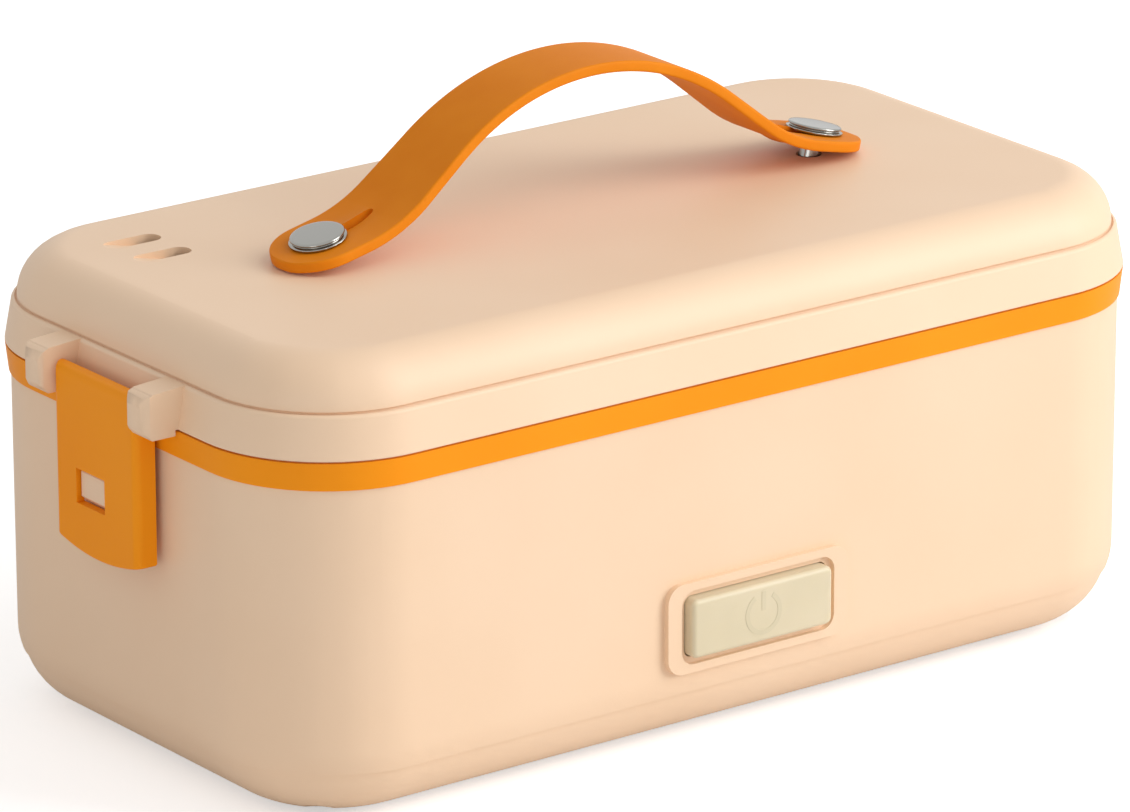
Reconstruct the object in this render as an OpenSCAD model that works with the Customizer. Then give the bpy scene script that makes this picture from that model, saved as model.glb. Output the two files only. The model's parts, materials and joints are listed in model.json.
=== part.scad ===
// Electric lunch box: a heated base, a lift-off lid held by a swing latch at each end,
// a strap handle on two studs, and a food container with its own lid inside.
// +X runs along the box, -Y is the front, +Z is up, and the origin lies on the table
// under the middle of the box. All sizes are in millimetres.

/* [Body] */
// Length over the lid rim
body_l = 240.6; // [220:0.2:280]
// Width over the lid rim
body_w = 130.6; // [117:0.2:160]
// Radius of the lid rim's corners, seen from above
corner_r = 31.3; // [29:0.1:36]
// Wall of the base shell, the bottom cover and the lid
wall = 2.2; // [1.8:0.1:2.8]
// How far the base's wall stands inside the lid rim, under the band
wall_step = 1.3; // [0.9:0.1:1.6]
// How much further in the wall is at its foot
wall_draft = 0.1; // [0.1:0.1:1.2]
// Height of the foot of the wall, where the rounding starts
fillet_z = 18.4; // [17.8:0.1:20]
// Radius of the rounding under the wall
bottom_fillet = 15.3; // [13:0.1:17]
// Height of the joint between the base shell and the bottom cover
cover_joint_z = 13.1; // [12:0.1:14]
// How far the bottom cover is set in from the base shell
cover_step = 0.5; // [0.2:0.1:0.8]
// Radius of the bottom cover's own rounding
cover_fillet = 16; // [15:0.1:18]
// Height of the bottom cover above the table, which the feet fill
foot_gap = 0.8; // [0.6:0.1:2]

/* [Band] */
// Height of the band's lower edge
band_z = 76.9; // [74:0.1:90]
// Height of the band
band_h = 6.2; // [5:0.1:8]
// How far the band is set in from the lid rim
band_step = 0.1; // [0.1:0.1:0.8]
// How much further in the band's lower edge is
band_draft = 0.7; // [0:0.1:0.9]
// Height of the band ring's deck under the band's top edge
deck_drop = 1; // [0.6:0.1:1.5]
// Thickness of the deck
deck_t = 2.4; // [2:0.1:3]

/* [Lid] */
// Height of the lid rim
rim_h = 9.9; // [8:0.1:12]
// Rounding of the lid rim's top edge
rim_round = 1; // [0.6:0.1:1.4]
// How much further in the rim's top edge is
rim_draft = 1.6; // [0.4:0.1:1.8]
// Height of the dome above the rim
dome_h = 11.2; // [10:0.1:13]
// How far the dome's foot is set in from the rim
dome_step = 2.9; // [2.8:0.1:3.6]
// Width of the dome's curved edge, seen from above
dome_run = 11; // [9.5:0.1:14]
// Gap under the rim's outer edge, which reads as a dark line
rim_gap = 0.5; // [0.3:0.1:0.8]

/* [Strap handle] */
// Thickness of the strap
strap_t = 2.5; // [1.8:0.1:2.8]
// Width of the strap at its ends
strap_w = 21.6; // [19:0.2:26]
// Width of the strap at its top
strap_waist = 18.8; // [14:0.2:20]
// Distance between the two studs
stud_span = 135.2; // [128:0.2:142]
// Height of the arch's top above the lid
arch_h = 34.5; // [30:0.1:40]
// Slope of the arch's sides
arch_slope = 38.5; // [36:0.5:42]
// Tilt of the strap's ends, which lean with their studs
end_tilt = 12.5; // [6:0.5:14]
// Radius of the bend between a side and its end
end_bend = 36; // [20:1:40]
// Length of the keyhole slit beside each stud
slit_l = 14.2; // [10:0.2:20]
// Width of the keyhole slit
slit_w = 1.5; // [1:0.1:2]

/* [Studs] */
// Diameter of the stud's head
stud_head_d = 13; // [11:0.1:15]
// Height of the stud's head
stud_head_h = 1.7; // [1.4:0.1:2.4]
// Diameter of the stud's shank
stud_d = 5; // [4:0.1:6]

/* [Latches] */
// Width of a latch
latch_w = 31.2; // [26:0.2:33]
// Distance from a latch's pin down to its lower corners
latch_drop = 36.1; // [32:0.1:42]
// How far the latch's lower edge bulges below its corners
latch_bulge = 2.3; // [1:0.1:3]
// Depth of the latch's channel
latch_depth = 5; // [4.6:0.1:5]
// Wall of the latch
latch_t = 2; // [1.6:0.1:2.2]
// Width of the latch's window
window_w = 10.8; // [8:0.1:12]
// Height of the latch's window
window_h = 7.8; // [6:0.1:8.4]
// Distance from the pin down to the window's lower edge
window_drop = 27.3; // [24:0.1:28]
// How far the window lies beside the latch's middle
window_shift = 1.9; // [0:0.1:3]
// Diameter of the latch pin
pin_d = 2; // [1.6:0.1:2.2]
// Distance of the pin from the end of the lid rim
pin_out = 3.4; // [3.2:0.1:3.8]
// Width of an ear
ear_w = 7.3; // [6:0.1:10]
// How far an ear stands out from the lid rim
ear_out = 8.4; // [7.6:0.1:9]
// How far an ear hangs down past the rim
ear_drop = 1.3; // [0:0.1:1.8]
// Gap between an ear and the latch
ear_gap = 0.5; // [0.4:0.1:1]

/* [Front button] */
// Width of the translucent button
button_w = 38.2; // [34:0.2:46]
// Height of the translucent button
button_h = 13.4; // [11:0.2:14]
// How far the button stands out of its frame
button_out = 1.8; // [1.2:0.1:2.4]
// Distance of the button's middle from the middle of the box
button_x = 1.5; // [-6:0.1:6]
// Height of the button's middle
button_z = 28.8; // [28.8:0.1:36]
// Width of the frame beside the button
frame_edge = 5.4; // [3:0.1:7]
// Height of the frame's edge above and below the button
frame_edge_z = 3.6; // [2.6:0.1:3.6]
// How far the frame stands out of the wall
frame_out = 1.5; // [0.8:0.1:2]
// Width of the groove round the button
button_groove = 1.7; // [1:0.1:2]
// Travel of the button
button_travel = 1; // [0.6:0.1:1.2]

/* [Power inlet] */
// Width of the inlet's flange
inlet_w = 27; // [25:0.5:32]
// Height of the inlet's flange
inlet_h = 17; // [16:0.5:20]
// Depth of the inlet's recess
inlet_recess = 11; // [9:0.5:11.5]
// Distance between the two inlet pins
inlet_pitch = 8.6; // [8.4:0.1:9]

/* [Food container] */
// Room between the container's wall and the lid rim, at each end
end_room = 25.3; // [23:0.1:34]
// Room between the container's wall and the lid rim, in front and behind
side_room = 21.3; // [20:0.1:28]
// Wall of the container
food_t = 0.8; // [0.6:0.1:1]
// Width of the container's rim flange
food_flange = 6; // [5:0.5:7]
// Radius of the container's bottom edge
food_fillet = 8; // [5:0.5:10]

/* [Hidden] */
$fn = 96;
fit = 0.3;           // clearance between pieces that pass each other
snug = 0.15;         // clearance of pieces that locate each other
run_fit = 0.06;      // radial clearance of a pin in its bore
over = 1;            // how far a cut runs past what it cuts
half_l = body_l / 2;
half_w = body_w / 2;
cx = half_l - corner_r;      // corner centres, shared by every ring of the box
cy = half_w - corner_r;

wall_top_r = corner_r - wall_step;
wall_low_r = wall_top_r - wall_draft;
function wall_r(z) = wall_low_r + wall_draft * (z - fillet_z) / (band_z - fillet_z);
fillet_r = wall_low_r - bottom_fillet;          // centre of the rounding under the wall
joint_drop = fillet_z - cover_joint_z;
joint_r = fillet_r + sqrt(bottom_fillet * bottom_fillet - joint_drop * joint_drop);
lip_r = fillet_r + sqrt((bottom_fillet - wall) * (bottom_fillet - wall)
                        - joint_drop * joint_drop) - 0.15;
cover_mid_z = foot_gap + cover_fillet;
cover_r = joint_r - cover_step
          - sqrt(cover_fillet * cover_fillet - pow(cover_mid_z - cover_joint_z, 2));
floor_z = foot_gap + wall;                      // upper face of the bottom cover

band_top = band_z + band_h;
band_r = corner_r - band_step;
deck_z = band_top - deck_drop;
lid_crease = band_top + rim_h;
lid_top = lid_crease + dome_h;
dome_foot = corner_r - dome_step;
dome_in = dome_foot - dome_run;
dome_r = (dome_run * dome_run + dome_h * dome_h) / (2 * dome_h);
dome_z = lid_top - dome_r;

basin_gap = 3.5;             // air between the container and the basin
basin_t = 1;
basin_floor = 25.9;
food_l = body_l - 2 * end_room;
food_w = body_w - 2 * side_room;
basin_l = food_l + 2 * (basin_gap + basin_t);
basin_w = food_w + 2 * (basin_gap + basin_t);
basin_r = 22;
basin_flange = 5;
flange_z = deck_z - basin_t;

food_floor = basin_floor + basin_t;
food_r = basin_r - basin_gap - basin_t;
food_rim = deck_z + fit;
food_top = food_rim + food_t;

liner_t = 1.6;
liner_z = lid_top - wall - 8.4;      // underside of the lid's inner panel
liner_r = corner_r - wall - rim_draft / 2 - fit;
liner_wall_r = 23.6;
liner_foot = deck_z + 1.8;
seal_in = 24.6;
seal_out = 27.6;

pin_x = half_l + pin_out;
pin_z = lid_crease - 5.6;
latch_face = pin_x + pin_d / 2 + 1.2;
barrel_r = latch_face - pin_x;
window_z = pin_z - window_drop;
tooth_gap = 0.3;
tooth_top = latch_face - 1;
ear_y = latch_w / 2 + ear_gap;

stud_x = stud_span / 2;
strap_rest = 0.05;           // gap between a strap end's lowest edge and the lid
seat_h = strap_rest + strap_w / 2 * tan(end_tilt) + strap_t / cos(end_tilt);
arch_top = lid_top + arch_h;
washer_d = 9.6;
nut_top = (seat_h + wall) / cos(end_tilt) + washer_d / 2 * tan(end_tilt) + 0.05;
lean_d = stud_d / cos(end_tilt) + 2 * run_fit;  // a leaning stud, cut level
stud_hole_d = lean_d + wall * tan(end_tilt) + 0.2;
stud_hole_x = stud_x - (seat_h + wall / 2) * tan(end_tilt);

face_y = cy + wall_r(button_z) + frame_out;
pad_y = face_y - frame_out - wall - 0.2;
button_flange = 1;
button_lip = 1.6;
button_back = 1.9;
board_t = 1.6;
board_y = pad_y - 5.6;

inlet_z = 28.9;
inlet_face = half_w - wall_step + 0.2;
inlet_body_w = 20.4;
inlet_body_h = 11.6;

boss_r = 19;                 // screw bosses, measured out from each corner centre
boss_d = 8;
screw_d = 2.8;
screw_head_d = 5.6;
boss_bottom = cover_joint_z + 2.8;
post_x = button_w / 2 + 6.4;

// ---- shared shapes ----

// Carries a profile round the box: its x runs outwards from the corner centres.
module round_box(half_x = cx, half_y = cy) {
  for (i = [0, 1], j = [0, 1])
    mirror([i, 0, 0]) mirror([0, j, 0]) translate([half_x, half_y, 0])
      rotate_extrude(angle = 90) children();
  for (i = [0, 1]) {
    mirror([i, 0, 0]) translate([half_x, half_y, 0])
      rotate([90, 0, 0]) linear_extrude(2 * half_y) children();
    mirror([0, i, 0]) translate([-half_x, half_y, 0])
      rotate([90, 0, 90]) linear_extrude(2 * half_x) children();
  }
}

// Fills the middle that round_box leaves, between two heights.
module middle(z0, z1, half_x = cx, half_y = cy) {
  translate([-half_x, -half_y, z0]) cube([2 * half_x, 2 * half_y, z1 - z0]);
}

// A bar of a profile's section, given as inner and outer radius and two heights.
module section(r0, r1, z0, z1) {
  translate([r0, z0]) square([r1 - r0, z1 - z0]);
}

// A flat plate with rounded corners, lying on its back.
module rounded(w, h, r) {
  translate([-w / 2 + r, -h / 2]) square([w - 2 * r, h]);
  translate([-w / 2, -h / 2 + r]) square([w, h - 2 * r]);
  for (i = [-1, 1], j = [-1, 1]) translate([i * (w / 2 - r), j * (h / 2 - r)]) circle(r);
}

// A rounded block through a front or back wall: side is -1 in front, 1 behind.
module wall_block(side, x, z, w, h, r, y0, y1) {
  translate([x, side * y1, z]) rotate([90, 0, 0])
    translate([0, 0, side > 0 ? 0 : y0 - y1]) linear_extrude(y1 - y0) rounded(w, h, r);
}

module at_corners(r) {
  for (i = [-1, 1], j = [-1, 1])
    translate([i * (cx + r * cos(45)), j * (cy + r * sin(45)), 0]) children();
}

// ---- base ----

// The base's outline beside a corner centre, set in by the given amount.
module base_outline(inset) {
  polygon([[0, fillet_z], [wall_low_r - inset, fillet_z],
           [wall_top_r - inset, band_z], [0, band_z]]);
  intersection() {
    translate([fillet_r, fillet_z]) circle(bottom_fillet - inset);
    square([corner_r, fillet_z]);
  }
  section(0, fillet_r, fillet_z - bottom_fillet + inset, fillet_z);
}

// The bottom cover's outline, which has a rounding of its own.
module cover_outline(inset) {
  intersection() {
    translate([cover_r, cover_mid_z]) circle(cover_fillet - inset);
    square([corner_r, cover_joint_z]);
  }
  section(0, cover_r, foot_gap + inset, cover_joint_z);
}

module base_wall_section() {
  intersection() {
    difference() {
      base_outline(0);
      base_outline(wall);
    }
    section(0, corner_r, cover_joint_z, band_z);
  }
}

// The tooth behind a latch's window: its underside slopes so that the latch swings free.
module tooth() {
  bottom = window_z + tooth_gap;
  top = window_z + window_h - 0.4;
  slope = tooth_top - (latch_face - latch_t) + 0.1;
  root = half_l - wall_step - wall_draft - 1;
  translate([0, window_w / 2 - 0.45 - window_shift, 0]) rotate([90, 0, 0])
    linear_extrude(window_w - 0.9)
      polygon([[root, bottom], [tooth_top - slope, bottom], [tooth_top, bottom + slope],
               [tooth_top, top - 0.5], [tooth_top - 0.5, top], [root, top]]);
}

module base_shell() color("navajowhite") difference() {
  union() {
    round_box() base_wall_section();
    for (i = [0, 1]) rotate([0, 0, 180 * i]) tooth();
    // raised frame of the button and the flat pad behind it
    wall_block(-1, button_x, button_z, button_w + 2 * frame_edge,
               button_h + 2 * frame_edge_z, 4, pad_y, face_y);
    // flat pad of the inlet
    wall_block(1, 0, inlet_z, inlet_w + 2, inlet_h + 2, 3, pad_y, inlet_face);
    // posts of the switch board
    for (i = [-1, 1]) translate([button_x + i * post_x, -pad_y - 1, button_z])
      rotate([-90, 0, 0]) cylinder(d = 6, h = pad_y + 1 - board_y);
    // screw bosses, each with a web out to the corner's wall
    at_corners(boss_r) translate([0, 0, boss_bottom]) cylinder(d = boss_d, h = 18);
    for (i = [0, 1], j = [0, 1]) mirror([i, 0, 0]) mirror([0, j, 0])
      translate([cx, cy, boss_bottom]) rotate([0, 0, 45])
        translate([boss_r + boss_d / 2 - 1, -1, 0])
          cube([wall_low_r - wall - boss_r - boss_d / 2 + 1.8, 2, 18]);
  }
  // groove round the button, and the button's opening
  wall_block(-1, button_x, button_z, button_w + 2 * button_groove,
             button_h + 2 * button_groove, 3.3, face_y - 1.2, face_y + over);
  wall_block(-1, button_x, button_z, button_w + 2 * fit, button_h + 2 * fit, 1.6 + fit,
             pad_y - over, face_y + over);
  wall_block(1, 0, inlet_z, inlet_body_w + 2 * snug, inlet_body_h + 2 * snug, 2,
             pad_y - over, inlet_face + over);
  for (i = [-1, 1]) translate([button_x + i * post_x, -board_y + over, button_z])
    rotate([90, 0, 0]) cylinder(d = 2, h = 6 + over);
  at_corners(boss_r) translate([0, 0, boss_bottom - over])
    cylinder(d = screw_d + 2 * run_fit, h = 14 + over);
}

module bottom_cover() color("wheat") difference() {
  union() {
    round_box() {
      difference() {
        cover_outline(0);
        cover_outline(wall);
      }
      // lip that centres the cover in the base shell
      section(lip_r - 1.6, lip_r, cover_joint_z - 3, boss_bottom - 0.2);
    }
    middle(foot_gap, floor_z);
    at_corners(boss_r) translate([0, 0, foot_gap + 4.2])
      cylinder(d = boss_d + 1, h = boss_bottom - foot_gap - 4.2);
    board_posts() cylinder(d = 6, h = board_z - floor_z + 0.5);
  }
  at_corners(boss_r) {
    cylinder(d = screw_d + 0.6, h = boss_bottom + over);
    cylinder(d = screw_head_d + 0.8, h = head_z);
  }
  board_posts() cylinder(d = 2, h = board_z - floor_z + over);
  at_feet() cylinder(d = foot_d + 2 * snug, h = foot_gap + 1);
}

head_z = boss_bottom - 7.4;  // where the heads of the bottom screws bear
foot_d = 14;
module at_feet() {
  for (i = [-1, 1], j = [-1, 1]) translate([i * (cx - 6), j * (cy + 2), 0]) children();
}

module rubber_feet() color("dimgray") at_feet() rotate_extrude() difference() {
  square([foot_d / 2, foot_gap + 1]);
  translate([foot_d / 2 - 0.6, -0.1]) rotate(-45) square([2, 1]);
}

module bottom_screws() color("silver") at_corners(boss_r) difference() {
  union() {
    translate([0, 0, head_z]) cylinder(d = screw_d, h = 18);
    translate([0, 0, head_z - 2]) cylinder(d = screw_head_d, h = 2);
  }
  translate([-2, -0.4, head_z - 2.6]) cube([4, 0.8, 1.4]);
  translate([-0.4, -2, head_z - 2.6]) cube([0.8, 4, 1.4]);
}

// Ring on top of the base: the band that shows, the deck and a tongue in the base shell.
module band_ring() color("orange") {
  opening_l = basin_l / 2 + fit;
  opening_w = basin_w / 2 + fit;
  seat_l = opening_l + basin_flange;
  seat_w = opening_w + basin_flange;
  difference() {
    union() {
      round_box() {
        polygon([[wall_top_r - wall, band_z], [band_r - band_draft, band_z],
                 [band_r, band_top], [wall_top_r - wall, band_top]]);
        section(0, band_r - 1, deck_z - deck_t, deck_z);
        section(wall_top_r - wall - 2, wall_top_r - wall - snug, band_z - 4, deck_z - deck_t + 0.1);
      }
      middle(deck_z - deck_t, deck_z);
    }
    translate([0, 0, deck_z - deck_t - over])
      linear_extrude(deck_t + 2 * over) rounded(2 * opening_l, 2 * opening_w, basin_r + fit);
    translate([0, 0, flange_z])
      linear_extrude(basin_t + over) rounded(2 * seat_l, 2 * seat_w, basin_r + basin_flange);
  }
}

// A deep-drawn pan as a profile: wall radius r, floor z0, top z1, sheet t and bottom rounding.
module pan_section(r, t, z0, z1, bend, flange) {
  section(r - t, r, z0 + bend, z1);
  section(0, r - bend, z0, z0 + t);
  intersection() {
    translate([r - bend, z0 + bend]) difference() {
      circle(bend);
      circle(bend - t);
    }
    section(r - bend, r, z0, z0 + bend);
  }
  section(r - t, r + flange, z1 - t, z1);
}

module heating_basin() color("silver") {
  bx = basin_l / 2 - basin_r;
  by = basin_w / 2 - basin_r;
  round_box(bx, by)
    pan_section(basin_r, basin_t, basin_floor, flange_z + basin_t, 6, basin_flange - fit);
  middle(basin_floor, basin_floor + basin_t, bx, by);
  clamp_places() translate([0, 0, basin_floor - 5]) cylinder(d = 3, h = 5);
}

heater = [80, 34, 7];
clamp_y = 23;
module clamp_places() for (j = [-1, 1]) translate([0, j * clamp_y, 0]) children();

module ptc_heater() color("lightgray") translate([0, 0, basin_floor - heater.z]) difference() {
  translate([-heater.x / 2, -heater.y / 2, 0]) cube(heater);
  // the slot through the extrusion that holds the ceramic elements
  translate([-heater.x / 2 - over, -heater.y / 2 + 5, 2.2])
    cube([heater.x + 2 * over, heater.y - 10, 2.6]);
}

module heater_clamp() color("gray") translate([0, 0, basin_floor]) difference() {
  union() {
    translate([-7, -heater.y / 2 - fit - 1.2, -heater.z - 1.2])
      cube([14, heater.y + 2 * fit + 2.4, 1.2]);
    for (j = [0, 1]) mirror([0, j, 0]) {
      translate([-7, heater.y / 2 + fit, -heater.z - 1.2]) cube([14, 1.2, heater.z + 1.2]);
      translate([-7, heater.y / 2 + fit, -1.2]) cube([14, clamp_y + 5 - heater.y / 2, 1.2]);
    }
  }
  clamp_places() translate([0, 0, -3]) cylinder(d = 3.4, h = 4);
}

module clamp_nuts() color("silver") clamp_places()
  translate([0, 0, basin_floor - 1.2 - 2.4]) difference() {
    cylinder(d = 6, h = 2.4, $fn = 6);
    translate([0, 0, -over]) cylinder(d = 3.1, h = 5);
  }

module thermostat() color("dimgray") translate([heater.x / 2 + 18, 0, basin_floor - 5.2]) {
  cylinder(d = 14, h = 5.2);
  for (j = [-1, 1]) translate([-0.4 - 2.5, j * 3.4 - 0.4, -4]) cube([5, 0.8, 4.1]);
  translate([-11, -4, 4.4]) cube([22, 8, 0.8]);
}

module thermal_fuse() color("white") translate([-heater.x / 2 - 16, -8, basin_floor - 2.1])
  rotate([-90, 0, 0]) {
    cylinder(d = 4.2, h = 16);
    translate([0, 0, -5]) cylinder(d = 1, h = 26);
  }

board_x = -cx + 17;
board_z = 9.5;
board_size = [44, 56, board_t];
module board_posts() for (i = [-1, 1], j = [-1, 1])
  translate([board_x + i * 18, j * 24, floor_z - 0.5]) children();

module control_board() color("darkgreen") difference() {
  translate([board_x - board_size.x / 2, -board_size.y / 2, board_z]) cube(board_size);
  board_posts() cylinder(d = 2.6, h = 12);
}

module board_parts() color("black") translate([board_x, 0, board_z + board_t]) {
  translate([-14, -16, 0]) cube([15, 12, 7]);
  translate([-13, 2, 0]) cube([12, 10, 5]);
  translate([8, -9, 0]) cylinder(d = 8, h = 7);
  translate([8, 8, 0]) cylinder(d = 6, h = 6);
  for (i = [0:3]) translate([-18 + i * 9, 15, 0]) cube([6, 5, 5]);
}

module board_screws() color("silver") board_posts() {
  cylinder(d = 2 - 2 * 0.03, h = board_z + board_t - floor_z + 0.6);
  translate([0, 0, board_z + board_t - floor_z + 0.5]) cylinder(d = 4.4, h = 1.4);
}

// Two-pin inlet: a flange on the back wall and a body through it, with an oblong recess.
module inlet_socket() color("black") difference() {
  union() {
    wall_block(1, 0, inlet_z, inlet_w, inlet_h, 2.5, inlet_face, inlet_face + 1.2);
    wall_block(1, 0, inlet_z, inlet_body_w, inlet_body_h, 1.8, inlet_face - 13, inlet_face + 0.1);
  }
  inlet_outline(inlet_face + 1.2 - inlet_recess, inlet_face + 2);
  for (i = [-1, 1]) translate([i * inlet_pitch / 2, inlet_face - 14, inlet_z])
    rotate([-90, 0, 0]) cylinder(d = 2.4 + 2 * 0.02, h = 10);
}

module inlet_outline(y0, y1) {
  for (i = [-1, 1]) translate([i * 3.7, y1, inlet_z]) rotate([90, 0, 0])
    cylinder(r = 4.4, h = y1 - y0);
  translate([-3.7, y0, inlet_z - 4.4]) cube([7.4, y1 - y0, 8.8]);
}

module inlet_pins() color("gold") for (i = [-1, 1])
  translate([i * inlet_pitch / 2, inlet_face - 13.6, inlet_z]) rotate([-90, 0, 0]) {
    cylinder(d = 2.4, h = 11.6);
    translate([0, 0, 11.6]) sphere(d = 2.4);
  }

module switch_board() color("darkgreen") difference() {
  wall_block(-1, button_x, button_z, button_w + 20, button_h + 3, 1, board_y - board_t, board_y);
  for (i = [-1, 1]) translate([button_x + i * post_x, -board_y + over - 0.5, button_z])
    rotate([90, 0, 0]) translate([0, 0, -board_t - 1]) cylinder(d = 2.6, h = 4);
}

// Plunger of the switch ends one travel short of the button's rib.
switch_h = pad_y - button_flange - button_back - 0.05 - button_travel - board_y;
module touch_switch() color("black") translate([button_x - 9, -board_y, button_z]) rotate([90, 0, 0]) {
  translate([-3, -3, 0]) cube([6, 6, switch_h - 0.5]);
  cylinder(d = 3.4, h = switch_h);
}

module lamp() color("white") translate([button_x + 4, -board_y, button_z]) rotate([90, 0, 0]) {
  translate([-1.8, -1.4, 0]) cube([3.6, 2.8, 0.8]);
  translate([0, 0, 0.3]) cylinder(d = 2.4, h = 0.9);
}

module switch_screws() color("silver") for (i = [-1, 1])
  translate([button_x + i * post_x, -board_y + board_t, button_z]) rotate([90, 0, 0]) {
    translate([0, 0, -1.2]) cylinder(d = 4.2, h = 1.2);
    cylinder(d = 2 - 2 * 0.03, h = 5);
  }

// Translucent button: a block in the frame with a lip behind the wall and a rib at the back.
module power_button() color("ivory") {
  wall_block(-1, button_x, button_z, button_w, button_h, 1.6, pad_y - 0.5, face_y + button_out);
  wall_block(-1, button_x, button_z, button_w + 2 * (fit + button_lip),
             button_h + 2 * (fit + button_lip), 3, pad_y - button_flange, pad_y);
  translate([button_x - 9, -pad_y + button_flange - 0.1, button_z]) rotate([-90, 0, 0])
    cylinder(d = 4, h = button_back + 0.1);
}

// ---- lid ----

// The lid's outline beside a corner centre, set in by the given amount.
module lid_outline(inset) {
  rim_top = corner_r - rim_draft - inset;
  polygon([[0, band_top], [corner_r - inset, band_top],
           [rim_top, lid_crease - inset - rim_round], [0, lid_crease - inset - rim_round]]);
  section(0, rim_top - rim_round, band_top, lid_crease - inset);
  translate([rim_top - rim_round, lid_crease - inset - rim_round]) circle(rim_round);
  intersection() {
    translate([dome_in, dome_z]) circle(dome_r - inset);
    section(0, corner_r, band_top, lid_top);
  }
  section(0, dome_in, band_top, lid_top - inset);
}

module lid_wall_section() difference() {
  lid_outline(0);
  lid_outline(wall);
  section(0, corner_r - wall, band_top - over, band_top + 0.1);
  section(corner_r - wall / 2, corner_r + over, band_top - over, band_top + rim_gap);
  // fine groove at the dome's foot
  translate([dome_foot, lid_crease]) circle(0.45);
}

// One of the two ears that hold a latch's pin, with its outer edges chamfered.
module ear() {
  out = half_l + ear_out;
  root = band_top + rim_gap;
  low = root - ear_drop;
  intersection() {
    translate([0, ear_y + ear_w, 0]) rotate([90, 0, 0]) linear_extrude(ear_w) {
      polygon([[half_l - wall / 2, root], [half_l + 0.6, root], [half_l + 0.6, low],
               [out - 2, low], [out, low + 2.4], [out, lid_crease - 3.4],
               [out - 2.2, lid_crease - 0.6], [half_l - rim_draft - wall / 2, lid_crease]]);
      translate([out - 2.4, lid_crease - 3.2]) circle(2.4);
    }
    translate([0, 0, low - over]) linear_extrude(rim_h + ear_drop + 2 * over)
      polygon([[half_l - wall, ear_y], [out - 1, ear_y], [out, ear_y + 1],
               [out, ear_y + ear_w - 1.6], [out - 1.6, ear_y + ear_w],
               [half_l - wall, ear_y + ear_w]]);
  }
}

// Steam scoop: an oblong whose floor slopes down until it breaks through the lid's wall.
scoop_l = 14;
scoop_w = 5.2;
scoop_depth = 3.2;
scoop_x = -cx - 1.9;
module scoop(y) intersection() {
  translate([scoop_x, y, lid_top - scoop_depth]) linear_extrude(scoop_depth + over) {
    square([scoop_l - scoop_w, scoop_w], center = true);
    for (i = [-1, 1]) translate([i * (scoop_l - scoop_w) / 2, 0]) circle(d = scoop_w);
  }
  translate([scoop_x - scoop_l / 2, y - scoop_w, lid_top])
    rotate([0, atan(scoop_depth / scoop_l), 0]) cube([2 * scoop_l, 2 * scoop_w, 2 * scoop_depth]);
}

liner_posts = [for (i = [-1, 1], j = [-1, 1]) [i * (cx - 19), j * (cy - 8)]];

module lid_shell() color("navajowhite") difference() {
  union() {
    round_box() lid_wall_section();
    middle(lid_top - wall, lid_top);
    for (i = [0, 1], j = [0, 1]) mirror([i, 0, 0]) mirror([0, j, 0]) ear();
    for (p = liner_posts) translate([p.x, p.y, liner_z + liner_t])
      cylinder(d = 7, h = lid_top - wall - liner_z - liner_t + 0.5);
  }
  for (i = [-1, 1]) {
    translate([i * stud_hole_x, 0, lid_top - wall - over])
      cylinder(d = stud_hole_d, h = wall + 2 * over);
    // blind bores of the latch pins, closed at the ears' outer faces
    translate([i * pin_x, -(ear_y + ear_w - 1), pin_z]) rotate([-90, 0, 0])
      cylinder(d = pin_d + 0.06, h = 2 * (ear_y + ear_w - 1));
  }
  scoop(cy + 2.9);
  scoop(cy - 8.8);
  for (p = liner_posts) translate([p.x, p.y, liner_z + liner_t - over])
    cylinder(d = 2.4, h = 6 + over);
}

// Inner panel of the lid: a shallow tray turned over, with a flange for the gasket.
module lid_liner() color("white") difference() {
  union() {
    round_box() {
      section(0, liner_wall_r, liner_z, liner_z + liner_t);
      section(liner_wall_r - liner_t, liner_wall_r, liner_foot, liner_z + liner_t);
      section(liner_wall_r - liner_t, liner_r, liner_foot, liner_foot + liner_t);
    }
    middle(liner_z, liner_z + liner_t);
  }
  for (p = liner_posts) translate([p.x, p.y, liner_z - over]) cylinder(d = 2.8, h = liner_t + 2);
  for (i = [-1, 1]) translate([i * (stud_x - 3.5), 0, liner_z - over]) cylinder(d = 6, h = liner_t + 2);
}

module liner_screws() color("silver") for (p = liner_posts) translate([p.x, p.y, liner_z]) {
  translate([0, 0, -1.4]) cylinder(d = 4.8, h = 1.4);
  cylinder(d = 2.34, h = 6);
}

module lid_gasket() color("whitesmoke") round_box() {
  section(seal_in, seal_out, deck_z + 1, liner_foot);
  translate([(seal_in + seal_out) / 2, deck_z + 1.05]) circle(0.7);
}

// ---- strap handle and studs ----

// One side of the arch's upper face, drawn towards +x from its top: one large arc leads
// down to the slope, and a bend leads out to the end's tilt.
// Each point is [x, height, angle below level].
arch_side =
  let (foot = stud_x - 5.3,
       seat = lid_top + seat_h,
       tip = strap_w / 2 + 1,
       knee = [foot - end_bend * (sin(arch_slope) - sin(end_tilt)),
               seat + 5.3 * tan(end_tilt) + end_bend * (cos(end_tilt) - cos(arch_slope))],
       top_r = (knee.x * sin(arch_slope) - (arch_top - knee.y) * cos(arch_slope))
               / (1 - cos(arch_slope)))
  concat(
    [for (i = [0:16]) let (a = arch_slope * i / 16)
       [top_r * sin(a), arch_top - top_r * (1 - cos(a)), a]],
    [for (i = [0:9]) let (a = arch_slope + (end_tilt - arch_slope) * i / 9)
       [knee.x + end_bend * (sin(arch_slope) - sin(a)),
        knee.y - end_bend * (cos(a) - cos(arch_slope)), a]],
    [[stud_x + tip, seat - tip * tan(end_tilt), end_tilt]]);

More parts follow.
